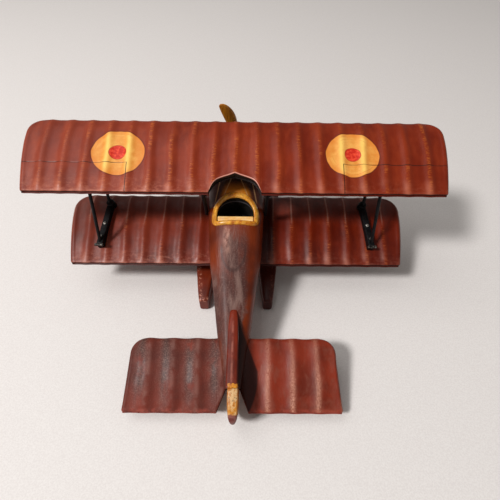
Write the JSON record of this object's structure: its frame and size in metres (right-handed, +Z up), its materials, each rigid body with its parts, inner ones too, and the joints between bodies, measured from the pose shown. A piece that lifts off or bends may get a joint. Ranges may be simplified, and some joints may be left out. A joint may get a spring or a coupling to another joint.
{
  "type": "propeller plane model",
  "caption": "Carved wooden display biplane on long floats, with ribbed wings on black struts, an open cockpit, tail surfaces and a free-turning propeller.",
  "frame": {"origin": "middle of the model's base, on the surface that the floats stand on", "axes": "+X along the wings to the right, +Y forwards towards the nose, +Z up"},
  "size_m": [0.624, 0.4998, 0.2587],
  "materials": {
    "fuselage_paint": "aged purple-brown paint over orange-red, satin",
    "wing_paint": "red-brown paint with worn rib crests, satin varnish",
    "tail_paint": "red-brown paint with a grey patina, satin varnish",
    "float_paint": "orange-brown paint, scuffed along the edges",
    "amber_paint": "amber paint, darker at the edges, satin varnish",
    "cream_paint": "cream and ochre paint, flaked",
    "cream_wood": "pale varnished wood",
    "propeller_wood": "ochre stained wood, satin",
    "strut_black": "black paint, satin",
    "steel": "dull zinc-plated steel"
  },
  "bodies": {
    "airframe": {"fuselage": "fuselage_paint", "cockpit_rim": "amber_paint", "cockpit_seat": "cream_wood", "nose_cowl": "fuselage_paint", "upper_wing": "wing_paint", "lower_wing": "wing_paint", "tailplane": "tail_paint", "fin": "tail_paint", "rudder": "cream_paint", "propeller_washer": "steel", "propeller_shaft": "steel", "foot_screw_rear_left": "steel", "foot_screw_front_left": "steel", "strut_foot_left": "strut_black", "strut_head_left": "strut_black", "strut_rear_left": "strut_black", "strut_front_left": "strut_black", "cabane_rear_left": "strut_black", "cabane_front_left": "strut_black", "float_left": "float_paint", "float_strut_rear_left": "strut_black", "float_strut_front_left": "strut_black", "foot_screw_rear_right": "steel", "foot_screw_front_right": "steel", "strut_foot_right": "strut_black", "strut_head_right": "strut_black", "strut_rear_right": "strut_black", "strut_front_right": "strut_black", "cabane_rear_right": "strut_black", "cabane_front_right": "strut_black", "float_right": "float_paint", "float_strut_rear_right": "strut_black", "float_strut_front_right": "strut_black"},
    "propeller": {"propeller": "propeller_wood"}
  },
  "joints": [
    {"name": "propeller_spin", "type": "hinge", "parent": "airframe", "child": "propeller", "pos_m": [0, 0.18778, 0.1788], "axis": [0, 0.9397, 0.342], "continuous": true}
  ]
}
